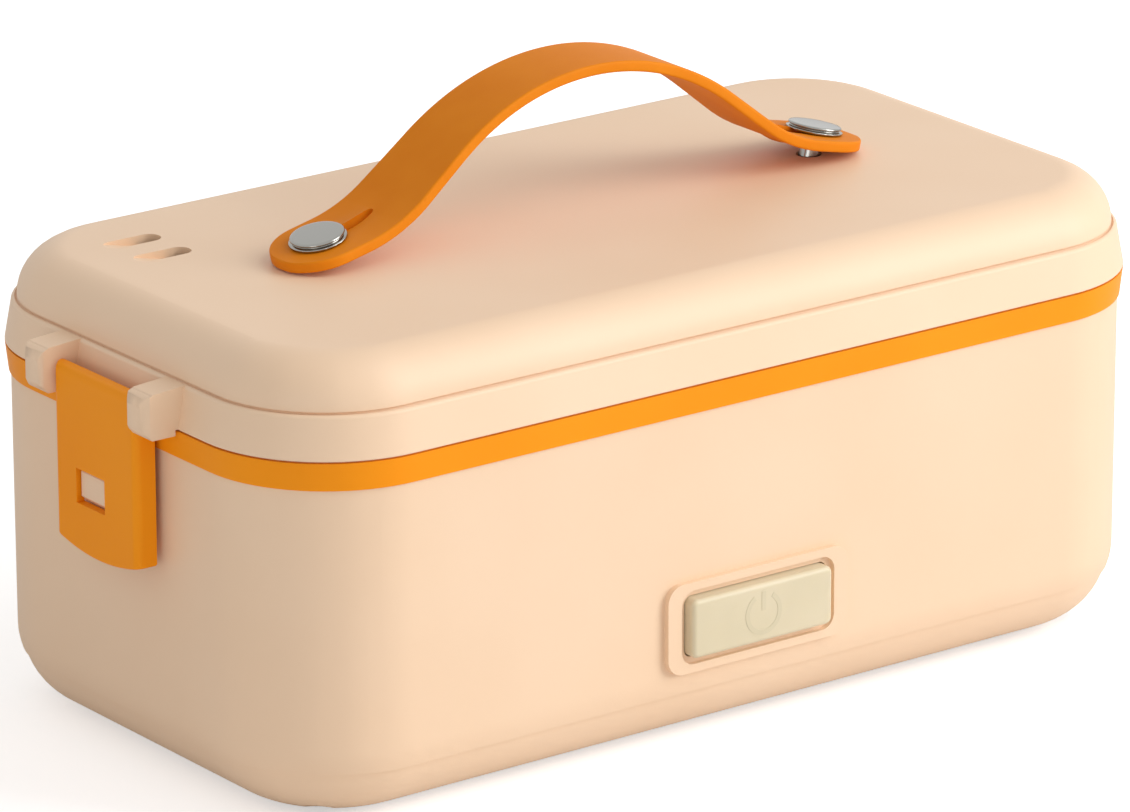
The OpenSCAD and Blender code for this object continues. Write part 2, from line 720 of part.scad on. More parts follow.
module strap_arch() {
  chain = concat([for (i = [len(arch_side) - 1:-1:1]) let (p = arch_side[i]) [-p[0], p[1], -p[2]]],
                 arch_side);
  upper = [for (p = chain) [p[0], p[1]]];
  lower = [for (i = [len(chain) - 1:-1:0]) let (p = chain[i])
             [p[0] - strap_t * sin(p[2]), p[1] - strap_t * cos(p[2])]];
  translate([0, strap_w, 0]) rotate([90, 0, 0])
    linear_extrude(2 * strap_w) polygon(concat(upper, lower));
}

module strap_plan() difference() {
  union() {
    square([2 * stud_x, strap_w], center = true);
    for (i = [-1, 1]) translate([i * stud_x, 0]) circle(strap_w / 2);
  }
  waist = (strap_w - strap_waist) / 2;
  side_r = (50 * 50 + waist * waist) / (2 * waist);
  for (j = [-1, 1]) translate([0, j * (strap_waist / 2 + side_r)]) circle(side_r, $fn = 720);
  for (i = [0, 1]) mirror([i, 0]) {
    translate([stud_x - slit_l, -slit_w / 2]) square([slit_l, slit_w]);
    translate([stud_x - slit_l, 0]) circle(slit_w / 2);
    translate([stud_x - strap_t * sin(end_tilt) / 2, 0])
      circle(d = lean_d + strap_t * sin(end_tilt) + 0.2);
  }
}

module strap_handle() color("darkorange") intersection() {
  strap_arch();
  translate([0, 0, lid_top]) linear_extrude(arch_h + over) strap_plan();
}

// Places a stud's pieces on the strap's ends, leaning outwards with them.
module at_studs() for (i = [0, 1]) mirror([i, 0, 0])
  translate([stud_x, 0, lid_top + seat_h]) rotate([0, end_tilt, 0]) children();

// Two studs: a chamfered head on the strap and a shank through the lid.
module studs() color("lightgray") at_studs() {
  rotate_extrude() polygon([[0, 0.1], [stud_head_d / 2 - 0.5, 0.1],
    [stud_head_d / 2, 0.6], [stud_head_d / 2, stud_head_h - 0.6],
    [stud_head_d / 2 - 0.7, stud_head_h + 0.1], [0, stud_head_h + 0.1]]);
  translate([0, 0, -nut_top - 4]) cylinder(d = stud_d, h = nut_top + 4.2);
}

module stud_nuts() color("silver") at_studs() translate([0, 0, -nut_top - 3.4]) difference() {
  union() {
    cylinder(d = 8.6, h = 2.8, $fn = 6);
    translate([0, 0, 2.6]) cylinder(d = washer_d, h = 0.8);
  }
  translate([0, 0, -over]) cylinder(d = stud_d + 0.06, h = 6);
}

module latch_pins() color("silver") for (i = [-1, 1])
  translate([i * pin_x, -(ear_y + ear_w - 1.2), pin_z]) rotate([-90, 0, 0])
    cylinder(d = pin_d, h = 2 * (ear_y + ear_w - 1.2));

// A channel-shaped latch with a barrel on its pin, a window and a bulging lower edge.
module latch() difference() {
  half = latch_w / 2;
  low = pin_z - latch_drop;
  bulge_r = (half * half + latch_bulge * latch_bulge) / (2 * latch_bulge);
  union() {
    translate([pin_x, half, pin_z]) rotate([90, 0, 0]) cylinder(r = barrel_r, h = latch_w);
    translate([pin_x, -half, pin_z]) cube([barrel_r, latch_w, barrel_r - 0.2]);
    // plate: its outline is cut off by a large circle at the lower edge
    intersection() {
      translate([latch_face - latch_t, -half, low - latch_bulge])
        cube([latch_t, latch_w, latch_drop + latch_bulge]);
      translate([0, 0, low - latch_bulge + bulge_r]) rotate([0, 90, 0])
        cylinder(r = bulge_r, h = 2 * half_l, $fn = 180);
    }
    for (j = [0, 1]) mirror([0, j, 0]) translate([0, half, 0]) rotate([90, 0, 0])
      linear_extrude(latch_t)
        polygon([[latch_face - 0.5, low + 0.4], [latch_face - latch_depth + 1, low + 0.4],
                 [latch_face - latch_depth, low + 1.4], [latch_face - latch_depth, pin_z - 1.2],
                 [pin_x, pin_z - 1.2], [pin_x, pin_z], [latch_face - 0.5, pin_z]]);
  }
  translate([pin_x, -half - over, pin_z]) rotate([-90, 0, 0])
    cylinder(d = pin_d + 2 * run_fit, h = latch_w + 2 * over);
  translate([latch_face - latch_t - over, -window_w / 2 - window_shift, window_z])
    cube([latch_t + 2 * over, window_w, window_h]);
}

module latch_right() color("chocolate") latch();
module latch_left() color("chocolate") rotate([0, 0, 180]) latch();

// ---- food container ----

food_hx = food_l / 2 - food_r;
food_hy = food_w / 2 - food_r;
module food_container() color("gainsboro") {
  round_box(food_hx, food_hy)
    pan_section(food_r, food_t, food_floor, food_top, food_fillet, food_flange);
  middle(food_floor, food_floor + food_t, food_hx, food_hy);
}

lid_edge = food_r + food_flange + 1;
plug_r = food_r - food_t - 2.2;
module container_lid() color("ghostwhite") difference() {
  union() {
    round_box(food_hx, food_hy) {
      section(plug_r - 1.6, lid_edge, food_top, food_top + 1.6);
      section(plug_r - 1.6, plug_r, food_top - 5, food_top + 1.6);
      section(plug_r - 1.6, plug_r - 0.2, food_top, food_top + 4);
      section(0, plug_r - 0.2, food_top + 2.6, food_top + 4);
      // groove walls that keep the gasket on the plug
      section(plug_r - 0.1, plug_r + 1.2, food_top - 5, food_top - 4.2);
    }
    middle(food_top + 2.6, food_top + 4, food_hx, food_hy);
    // lift tab at the right end
    translate([food_l / 2 + food_flange - 6, -11, food_top]) cube([9, 22, 1.6]);
    translate([food_l / 2 + food_flange + 1.5, -11, food_top]) cube([1.5, 22, 4]);
  }
  translate([valve_x, 0, food_top]) cylinder(d = 8, h = 6);
}

module container_gasket() color("whitesmoke") round_box(food_hx, food_hy) {
  section(plug_r + 0.05, plug_r + 1.5, food_top - 4.1, food_top - 0.1);
  translate([plug_r + 1.2, food_top - 2]) circle(0.7);
}

// Silicone steam plug: a stem through the container lid and a round cap with a pull rim.
valve_x = -60;
module steam_valve() color("darkorange") translate([valve_x, 0, food_top]) rotate_extrude() {
  polygon([[0, 1.4], [4.8, 1.4], [4.8, 2.4], [3.9, 2.5], [3.9, 4], [7, 4], [7, 5.6],
           [6.2, 6.4], [4, 6.4], [3.4, 5.4], [0, 5.4]]);
}

base_shell();
bottom_cover();
rubber_feet();
bottom_screws();
band_ring();
heating_basin();
ptc_heater();
heater_clamp();
clamp_nuts();
thermostat();
thermal_fuse();
control_board();
board_parts();
board_screws();
inlet_socket();
inlet_pins();
switch_board();
touch_switch();
lamp();
switch_screws();
power_button();
lid_shell();
lid_liner();
liner_screws();
lid_gasket();
strap_handle();
studs();
stud_nuts();
latch_pins();
latch_left();
latch_right();
food_container();
container_lid();
container_gasket();
steam_valve();
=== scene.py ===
# %% [markdown]
# # An electric lunch box, dressed for the studio
# The box has a heated base, a domed lid that lifts off, a soft strap handle and a swing
# latch at each short end. Its construction is loaded as a fixed frame, already at its real
# size. This notebook gives each piece its finish, and makes the soft and the finely rounded
# pieces as surfaces of its own.

# %% Frame
import json
import math

import bmesh
import bpy
import numpy as np
from mathutils import Matrix, Vector


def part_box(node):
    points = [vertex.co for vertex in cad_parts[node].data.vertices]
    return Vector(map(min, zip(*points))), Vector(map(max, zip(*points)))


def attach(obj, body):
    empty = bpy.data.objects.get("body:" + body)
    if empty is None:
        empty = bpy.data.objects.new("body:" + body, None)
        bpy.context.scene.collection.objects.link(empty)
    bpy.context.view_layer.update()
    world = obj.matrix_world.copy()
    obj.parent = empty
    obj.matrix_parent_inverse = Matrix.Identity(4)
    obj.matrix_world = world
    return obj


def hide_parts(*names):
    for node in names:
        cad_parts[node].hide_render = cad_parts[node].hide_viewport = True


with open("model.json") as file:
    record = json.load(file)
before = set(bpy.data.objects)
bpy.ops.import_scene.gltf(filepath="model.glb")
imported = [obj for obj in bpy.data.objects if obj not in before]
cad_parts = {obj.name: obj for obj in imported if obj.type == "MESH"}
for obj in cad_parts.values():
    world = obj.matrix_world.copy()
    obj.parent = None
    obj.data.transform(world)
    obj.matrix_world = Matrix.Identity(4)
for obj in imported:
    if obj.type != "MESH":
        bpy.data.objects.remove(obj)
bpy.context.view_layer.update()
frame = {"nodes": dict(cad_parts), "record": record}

# %% [markdown]
# ## Measures
# Every place is worked out from the frame's boxes or from a few real sizes in millimetres,
# so a piece lands on what carries it. Blender works in metres, so one factor turns a length
# in millimetres into metres.

# %% Measures
MM = 0.001
LID_TOP = round(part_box("lid_shell")[1].z / MM, 3)       # flat top of the dome
strap_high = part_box("strap_handle")[1]
ARCH_TOP = strap_high.z / MM
END_R = strap_high.y / MM                 # each end is half round about its stud
STUD_X = strap_high.x / MM - END_R
print(f"lid top {LID_TOP:.1f} mm, strap top {ARCH_TOP:.1f} mm, studs at {STUD_X:.1f} mm")

# %% [markdown]
# ## Small tools for meshes
# A surface here is an array of points and an array of faces. One function puts them into a
# mesh, joins the points that coincide and turns the faces outwards. It also says what the
# piece stands for: the body that it rides on, and the plain solid that it takes the place
# of, which it hides. Another numbers the faces of a grid, because almost every
# surface below is a grid of points.


# %% Mesh tools
def piece(name, points_mm, faces, body, stands_for=()):
    """A mesh object from points in millimetres, riding on a body."""
    mesh = bpy.data.meshes.new(name)
    mesh.from_pydata((np.asarray(points_mm) * MM).tolist(), [], faces)
    bm = bmesh.new()
    bm.from_mesh(mesh)
    bmesh.ops.remove_doubles(bm, verts=bm.verts, dist=1e-6)
    bmesh.ops.dissolve_degenerate(bm, edges=bm.edges, dist=1e-6)
    bmesh.ops.recalc_face_normals(bm, faces=bm.faces)
    bm.to_mesh(mesh)
    bm.free()
    mesh.polygons.foreach_set("use_smooth", np.ones(len(mesh.polygons), bool))
    obj = bpy.data.objects.new(name, mesh)
    bpy.context.scene.collection.objects.link(obj)
    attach(obj, body)
    if stands_for:
        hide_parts(*stands_for)
    return obj


def grid_faces(rows, columns, first=0, wrap=False):
    """Quads that join the points of a rows x columns grid, numbered row by row.

    Point (i, j) has the number first + i * columns + j. Each quad joins (i, j), (i, j + 1),
    (i + 1, j + 1) and (i + 1, j). With wrap, the last column joins the first.
    """
    i = np.arange(rows - 1)[:, None]
    j = np.arange(columns if wrap else columns - 1)[None, :]
    k = (j + 1) % columns
    quads = np.stack([i * columns + j, i * columns + k,
                      (i + 1) * columns + k, (i + 1) * columns + j], axis=-1)
    return (quads.reshape(-1, 4) + first).tolist()


print("a grid of 3 x 3 points has", len(grid_faces(3, 3)), "faces")

# %% [markdown]
# ## Small tools for edges
# No moulded or stamped edge is sharp. Modifiers round the edges without touching the mesh
# below them: one merges what lies in one plane, one rounds, and one lets the large faces
# decide how the shading runs, so that a flat face stays flat to the eye.


# %% Edge tools
def join_flat(obj):
    """Merges the triangles that lie in one plane, so that an edge rounds in one piece."""
    flat = obj.modifiers.new("flat_faces_joined", "DECIMATE")
    flat.decimate_type = "DISSOLVE"
    flat.angle_limit = math.radians(0.4)


def crisp(obj, angle):
    """Keeps the edges that are sharper than the angle sharp in the shading."""
    split = obj.modifiers.new("crisp_edges", "EDGE_SPLIT")
    split.split_angle = math.radians(angle)


def even_shading(obj):
    """Lets large faces decide how the shading runs over their small neighbours."""
    even = obj.modifiers.new("even_shading", "WEIGHTED_NORMAL")
    even.keep_sharp = True


def soften(obj, width_mm, segments=3, angle=30):
    """Rounds the edges that are sharper than the angle, then evens the shading."""
    bevel = obj.modifiers.new("rounded_edges", "BEVEL")
    bevel.width = width_mm * MM
    bevel.segments = segments
    bevel.limit_method = "ANGLE"
    bevel.angle_limit = math.radians(angle)
    bevel.use_clamp_overlap = True
    even_shading(obj)


print("edge tools:", ", ".join(tool.__name__ for tool in (join_flat, crisp, soften)))

# %% [markdown]
# ## Colours and materials
# Colours are written as the sRGB hex values that a picture shows, and one function turns
# them to linear light, which the shader needs. A material is a tree of nodes: a helper adds
# one node with its settings and links, and each finish has its own short function.


# %% Material tools
def linear(hex_colour):
    """sRGB hex to linear RGBA: each channel c becomes ((c + 0.055) / 1.055) ** 2.4."""
    c = np.array([int(hex_colour[i:i + 2], 16) for i in (1, 3, 5)]) / 255
    rgb = np.where(c <= 0.04045, c / 12.92, ((c + 0.055) / 1.055) ** 2.4)
    return (*rgb.tolist(), 1.0)


def add(tree, kind, settings=None, **links):
    """Adds a node. Settings are its properties or sockets' values; links name its inputs."""
    node = tree.nodes.new(kind)
    for key, value in (settings or {}).items():
        if key in node.inputs:
            node.inputs[key].default_value = value
        else:
            setattr(node, key, value)
    for key, source in links.items():
        tree.links.new(source, node.inputs[key.replace("_", " ")])
    return node


def new_material(name, **sockets):
    """A material with one Principled shader; sockets are its plain values."""
    material = bpy.data.materials.new(name)
    material.use_nodes = True
    tree = material.node_tree
    shader = tree.nodes["Principled BSDF"]
    for key, value in sockets.items():
        shader.inputs[key.replace("_", " ")].default_value = value
    return material, tree, shader


print("middle grey #808080 in linear light:", round(linear("#808080")[0], 3))

# %% [markdown]
# ### Patterns on a surface
# A plain colour looks like plastic film. Real surfaces drift a little in colour over some
# centimetres and carry a fine grain, and both come from noise whose scale is worked out from
# a real size in millimetres.


# %% Pattern tools
def grain(tree, size_mm, detail=2.0, stretch=(1, 1, 1)):
    """Noise on object coordinates whose blobs measure size_mm."""
    place = add(tree, "ShaderNodeTexCoord")
    mapping = add(tree, "ShaderNodeMapping", {"Scale": stretch}, Vector=place.outputs["Object"])
    return add(tree, "ShaderNodeTexNoise",
               {"Scale": 1 / (size_mm * MM), "Detail": detail, "Roughness": 0.55},
               Vector=mapping.outputs["Vector"])


def drifting_colour(tree, shader, noise, low_hex, high_hex):
    """Colours a finish: the noise runs it from one hex value to the other."""
    ramp = add(tree, "ShaderNodeValToRGB", Fac=noise.outputs["Fac"])
    for element, place, hex_colour in zip(ramp.color_ramp.elements, (0.3, 0.7),
                                          (low_hex, high_hex)):
        element.position, element.color = place, linear(hex_colour)
    tree.links.new(ramp.outputs["Color"], shader.inputs["Base Color"])


def worked_skin(tree, shader, noise, depth_mm, rough):
    """One noise gives a finish its relief, of a real depth, and an uneven roughness."""
    bump = add(tree, "ShaderNodeBump", {"Strength": 1.0, "Distance": depth_mm * MM},
               Height=noise.outputs["Fac"])
    tree.links.new(bump.outputs["Normal"], shader.inputs["Normal"])
    span = add(tree, "ShaderNodeMapRange", {"To Min": rough[0], "To Max": rough[1]},
               Value=noise.outputs["Fac"])
    tree.links.new(span.outputs["Result"], shader.inputs["Roughness"])


print("a grain of 0.5 mm needs a noise scale of", round(1 / (0.5 * MM)))

# %% [markdown]
# ### Moulded polypropylene
# The shells are injection-moulded polypropylene. The mould is spark-eroded, which leaves a
# grain that takes the gloss off: a quarter of a millimetre in reality, drawn at half a
# millimetre so that it shows. The colour is even, with a faint drift over a few centimetres.
# The food container's lid comes from a polished mould, so it shines, and the black pieces
# are polyamide, which stays matt and hard to the eye.


# %% Moulded plastics
def moulded(name, low_hex, high_hex, depth_mm=0.012, rough=(0.42, 0.52)):
    """Moulded plastic: colour that drifts over 35 mm, a grain of 0.5 mm, uneven gloss."""
    material, tree, shader = new_material(name, IOR=1.49)
    drifting_colour(tree, shader, grain(tree, size_mm=35, detail=1.0), low_hex, high_hex)
    worked_skin(tree, shader, grain(tree, size_mm=0.5, detail=3.0), depth_mm, rough)
    return material


def dull(material, level):
    """Lowers the shine of a deep colour, which a white studio would wash out."""
    shader = material.node_tree.nodes["Principled BSDF"]
    shader.inputs["Specular IOR Level"].default_value = level


beige = moulded("polypropylene_peach_beige", "#F0CFAE", "#F2D2B2")
orange = moulded("polypropylene_warm_orange", "#FA960E", "#FB9A12", rough=(0.4, 0.5))
dull(orange, 0.15)
white_lid = moulded("polypropylene_white_gloss", "#EFEBE2", "#F3F0E8", depth_mm=0.004,
                    rough=(0.18, 0.26))
black_plastic = moulded("polyamide_black", "#17171A", "#1D1D20", rough=(0.4, 0.5))
print("moulded plastics:", beige.name, orange.name, white_lid.name, black_plastic.name)

# %% [markdown]
# ### Silicone
# The strap, the seals and the plug are moulded silicone: soft and matt, and the milky kinds
# have a slight bloom towards grazing light, which a little sheen gives. The button is frosted
# silicone that lets a lamp shine through, so light also travels a short way inside it.


# %% Silicones
def silicone(name, low_hex, high_hex, rough=(0.5, 0.6), sheen=0.12):
    """Matt silicone: colour that drifts over 12 mm, a soft grain of 0.4 mm, a faint bloom."""
    material, tree, shader = new_material(name, IOR=1.41, Sheen_Weight=sheen,
                                          Sheen_Roughness=0.4)
    drifting_colour(tree, shader, grain(tree, size_mm=12), low_hex, high_hex)
    worked_skin(tree, shader, grain(tree, size_mm=0.4, detail=3.0), 0.008, rough)
    return material


strap_silicone = silicone("silicone_warm_orange", "#E2800E", "#E68614", sheen=0.0)
dull(strap_silicone, 0.15)
milky = silicone("silicone_milky", "#E4E1D8", "#EAE7DF")
rubber = silicone("rubber_black", "#1A1A1A", "#222222", rough=(0.6, 0.7), sheen=0.0)
FROSTED = (0.3, 0.38)                     # roughness of the button's frosted skin
button_silicone = silicone("silicone_frosted_ivory", "#D9CCAD", "#DDD0B2", rough=FROSTED)
button_shader = button_silicone.node_tree.nodes["Principled BSDF"]
button_shader.inputs["Subsurface Weight"].default_value = 0.15
button_shader.inputs["Subsurface Radius"].default_value = (0.9, 0.8, 0.5)
button_shader.inputs["Subsurface Scale"].default_value = 2 * MM
print("silicones:", strap_silicone.name, milky.name, rubber.name, button_silicone.name)

# %% [markdown]
# ### Metals
# Drawn stainless steel and aluminium show the marks of the tool that finished them: fine
# parallel lines on brushed sheet, and a bright, slightly hazy skin on plated pieces. The
# lines are noise stretched a long way in one direction.


# %% Metals
def metal(name, hex_colour, rough=(0.2, 0.3), stretch=(0.02, 1, 1), depth_mm=0.004):
    """Bare metal with tool marks 0.15 mm wide, along the axis with the small stretch."""
    material, tree, shader = new_material(name, Metallic=1.0, Base_Color=linear(hex_colour))
    worked_skin(tree, shader, grain(tree, size_mm=0.15, stretch=stretch), depth_mm, rough)
    return material


brushed_steel = metal("stainless_steel_brushed", "#C2C0BB", (0.24, 0.36))
plated_steel = metal("steel_nickel_plated", "#9C9B96", (0.12, 0.2), depth_mm=0.001)
aluminium = metal("aluminium_drawn", "#CBCBCC", (0.3, 0.42), stretch=(1, 1, 0.05))
brass = metal("brass_plain", "#CDB06A", (0.2, 0.3))
print("metals:", brushed_steel.name, plated_steel.name, aluminium.name, brass.name)

# %% [markdown]
# ### Small electrical pieces
# Boards are glass laminate under green lacquer, which gives them a deep, half glossy green.
# The thermal fuse sits in a glazed ceramic sleeve, whose glaze gives a hard white gleam. One
# table then says which finish each kind of piece has.

# %% Electrical materials
board_green = moulded("solder_mask_green", "#14482A", "#185332", depth_mm=0.004,
                      rough=(0.25, 0.35))
ceramic = moulded("ceramic_glazed", "#E6E3DA", "#ECE9E1", depth_mm=0.003, rough=(0.12, 0.2))

FINISH = {
    "beige_plastic": beige, "orange_plastic": orange, "orange_silicone": strap_silicone,
    "button_silicone": button_silicone, "stainless": brushed_steel,
    "bright_steel": plated_steel, "aluminium": aluminium, "food_lid_plastic": white_lid,
    "clear_silicone": milky, "black_rubber": rubber, "black_plastic": black_plastic,
    "brass": brass, "circuit_board": board_green, "ceramic_white": ceramic,
}
print(len(FINISH), "finishes")

# %% [markdown]
# ## The carried-over pieces
# Each node of the frame already has its true shape. It gets its material, joined vertices,
# a small radius on its moulded or stamped edges, and smooth shading between the edges. The
# lid shell is treated apart: its ears have chamfers of 45 degrees, and they look moulded
# when the shading runs round them.

# %% Dress the frame
EDGE_MM = {"base_shell": 0.35, "bottom_cover": 0.35, "band_ring": 0.3, "inlet_socket": 0.4,
           "container_lid": 0.3, "lid_liner": 0.3, "rubber_feet": 0.3}
SLOT_OF = {row["node"]: row["material_slot"] for row in frame["record"]["subparts"]}

for node_name, obj in frame["nodes"].items():
    obj.data.materials.clear()
    obj.data.materials.append(FINISH[SLOT_OF[node_name]])
    obj.data.polygons.foreach_set("use_smooth", np.ones(len(obj.data.polygons), bool))
    weld = obj.modifiers.new("joined", "WELD")
    weld.merge_threshold = 0.002 * MM
    if node_name in EDGE_MM:
        join_flat(obj)
        soften(obj, EDGE_MM[node_name])
    elif node_name == "lid_shell":
        join_flat(obj)
        crisp(obj, 58)
        even_shading(obj)
    else:
        crisp(obj, 35)
print("dressed", len(frame["nodes"]), "nodes")

# %% [markdown]
# ## The strap handle
# The strap is one piece of silicone, moulded flat and bent by hand: it stands in an arch
# because its two ends are held closer together than it is long. It is made here as it is in
# reality, first as a flat pattern with rounded rims, a waist, round ends, a hole and a slit
# at each end, and then bent along a centre line. A bent pattern keeps its width and its
# thickness everywhere, which an arch cut out of a block does not. The line comes first.

# %% Centre line of the strap
STRAP_T = 2.5
SLOPE, TILT = math.radians(38.5), math.radians(12.5)
BEND_R = 36.0                             # bend from the slope to the tilted end
END_FLAT = 5.3                            # the end is straight from here, inside its stud
TIP_GAP = 0.05                            # the strap's tip just clears the lid
SEAT_Z = LID_TOP + TIP_GAP + END_R * math.tan(TILT) + STRAP_T / math.cos(TILT)


def centre_line(samples=1200):
    """Points, angles and lengths of the strap's upper face for x >= 0.

    The angle a grows with x from 0 to the slope along a large arc of radius R, where
    x = R sin a and z = top - R (1 - cos a). It then falls to the end's tilt along an arc of
    the bend's radius r, x = knee + r (sin slope - sin a) and z = knee_z - r (cos a - cos
    slope), and a straight end follows. R is chosen so that the slope starts where the bend's
    arc ends.
    """
    foot_x = STUD_X - END_FLAT
    foot_z = SEAT_Z + END_FLAT * math.tan(TILT)
    knee_x = foot_x - BEND_R * (math.sin(SLOPE) - math.sin(TILT))
    knee_z = foot_z + BEND_R * (math.cos(TILT) - math.cos(SLOPE))
    top_r = (knee_x * math.sin(SLOPE) - (ARCH_TOP - knee_z) * math.cos(SLOPE)) / (
        1 - math.cos(SLOPE))
    up = np.linspace(0, SLOPE, samples)
    down = np.linspace(SLOPE, TILT, samples)[1:]
    along = np.linspace(0, 30, samples)[1:]      # mm, a little longer than the end needs
    x = np.concatenate([top_r * np.sin(up), knee_x + BEND_R * (math.sin(SLOPE) - np.sin(down)),
                        foot_x + along * math.cos(TILT)])
    z = np.concatenate([ARCH_TOP - top_r * (1 - np.cos(up)),
                        knee_z - BEND_R * (np.cos(down) - math.cos(SLOPE)),
                        foot_z - along * math.sin(TILT)])
    a = np.concatenate([up, down, np.full(samples - 1, TILT)])
    s = np.concatenate([[0], np.cumsum(np.hypot(np.diff(x), np.diff(z)))])
    return x, z, a, s


LINE_X, LINE_Z, LINE_A, LINE_S = centre_line()
STUD_S = float(np.interp(STUD_X, LINE_X, LINE_S))
print(f"half of the strap measures {STUD_S:.1f} mm from its top to its stud")


def bend(s, y, depth):
    """Flat pattern to arch: s runs along the strap, y across it, depth down into it.

    The point is line(s) - depth * normal(s), with normal = (sin a, cos a), and both ends
    mirror each other about s = 0.
    """
    side, s = np.sign(s), np.abs(s)
    x, z = np.interp(s, LINE_S, LINE_X), np.interp(s, LINE_S, LINE_Z)
    a = np.interp(s, LINE_S, LINE_A)
    return np.stack([side * (x - depth * np.sin(a)), y, z - depth * np.cos(a)], axis=-1)


# %% [markdown]
# ### The strap's flat pattern
# The pattern is a grid. Its rows lie where something happens along the strap: at the slit,
# at the hole and in the round end. Its columns are stretched in each row so that the two in
# the middle follow the slit's walls and the next two follow the hole's.

# %% Strap pattern
WAIST, WAIST_REACH = 9.4, 54              # half width at the top, and how far it widens
RIM_R = 0.55                              # rounding of the strap's rims
SLIT, SLIT_HALF = 14.2, 0.75              # length and half width of the slit
REAR_LIP, FRONT_LIP, LIP_FADE = 0.6, -0.5, 1.6
HOLE_R = 2.8


def half_width(s):
    """Half of the strap's width: a shallow waist, then a half circle about the stud."""
    body = WAIST + (END_R - WAIST) * np.clip(np.abs(s) / WAIST_REACH, 0, 1) ** 2
    past = np.clip(np.abs(s) - STUD_S, 0, END_R)
    return np.where(np.abs(s) > STUD_S, np.sqrt(np.maximum(END_R ** 2 - past ** 2, 0)), body)


def strap_rows():
    """Places along the strap: dense at its round ends, with rows on the slit and the hole."""
    end = STUD_S + END_R * np.sin(np.linspace(0, math.pi / 2, 22))[1:]
    hole = STUD_S + HOLE_R * np.array([-1, -0.5, 0, 0.5])
    slit = STUD_S - SLIT - SLIT_HALF * np.array([1, 0.8, 0.35 / 0.75, 0])
    plain = np.arange(2.0, STUD_S - SLIT - 1.5, 2.0)
    mid = np.linspace(STUD_S - SLIT + 1.5, STUD_S - HOLE_R - 1.2, 7)
    half = np.sort(np.concatenate([[0.0], plain, slit, mid, hole, end[end > STUD_S + 2.0]]))
    return np.concatenate([-half[:0:-1], half])


def strap_columns(s, limit):
    """Offsets across the strap for each row: two lines follow the slit and the hole."""
    reach = STUD_S - np.abs(s)
    tip = np.clip((SLIT + SLIT_HALF - reach) / SLIT_HALF, 0.12, 1)
    slit = SLIT_HALF * np.sqrt(1 - (1 - tip) ** 2)
    slit = np.where(reach < -HOLE_R, SLIT_HALF, slit)
    fit = np.clip(limit / 5, 0, 1)
    slit, hole = slit * fit, HOLE_R * fit
    outer = np.stack([hole + (limit - hole) * f for f in (0.4, 0.75, 0.96, 1.0)], axis=1)
    right = np.concatenate([slit[:, None], hole[:, None], outer], axis=1)
    return np.concatenate([-right[:, ::-1], right], axis=1)


def onto_hole(s, y):
    """Draws the grid's points on the square round each hole onto the hole's circle."""
    ds = np.abs(s) - STUD_S
    square = np.maximum(np.abs(ds), np.abs(y))
    edge = (square <= HOLE_R + 1e-6) & (square > HOLE_R - 1e-6)
    length = np.maximum(np.hypot(ds, y), 1e-9)
    return (np.where(edge, np.sign(s) * (STUD_S + ds * HOLE_R / length), s),
            np.where(edge, y * HOLE_R / length, y))


def lip(s, y):
    """Rise of the slit's lips: the stud, pushed through, leaves the rear one up, the front down.

    The rise is that of the rear or the front lip, times 1 - (t / reach)^4 along the slit, t
    from its middle, and it fades with exp(-d / fade) at the distance d from its wall.
    """
    along = np.clip(1 - ((STUD_S - SLIT / 2 - np.abs(s)) / (SLIT / 2 + SLIT_HALF)) ** 4, 0, 1)
    away = np.maximum(np.abs(y) - SLIT_HALF, 0)
    return np.where(y > 0, REAR_LIP, FRONT_LIP) * along * np.exp(-away / LIP_FADE)


print("pattern:", len(strap_rows()), "rows, waist", 2 * WAIST, "mm, ends", 2 * END_R, "mm")

# %% [markdown]
# ### The strap's surface
# The upper and the lower face share one grid. Cells in the slits and the holes are left out,
# and the edges that lose a neighbour get a wall. Rounded strips close the outer rims.


# %% Strap handle
def strap_faces_and_walls(s, rows, columns):
    """Kept cells of both faces, and a wall below each edge that borders a cell left out."""
    quads = np.array(grid_faces(rows, columns)).reshape(rows - 1, columns - 1, 4)
    mid_s = np.abs((s[1:] + s[:-1]) / 2)
    in_hole = np.abs(mid_s - STUD_S) < HOLE_R
    in_slit = (mid_s > STUD_S - SLIT - SLIT_HALF) & (mid_s < STUD_S)
    left_out = np.zeros((rows - 1, columns - 1), bool)
    centre = columns // 2 - 1
    left_out[in_slit, centre] = True
    left_out[np.ix_(in_hole, [centre - 1, centre, centre + 1])] = True
    kept, gone = quads[~left_out], quads[left_out]
    edges = np.concatenate([gone[:, [k, (k + 1) % 4]] for k in range(4)])
    _, first, count = np.unique(np.sort(edges, axis=1), axis=0, return_index=True,
                                return_counts=True)
    rim = edges[first[count == 1]]
    n = rows * columns
    walls = np.stack([rim[:, 0], rim[:, 1], rim[:, 1] + n, rim[:, 0] + n], axis=1)
    return kept.tolist() + (kept + n).tolist() + walls.tolist()


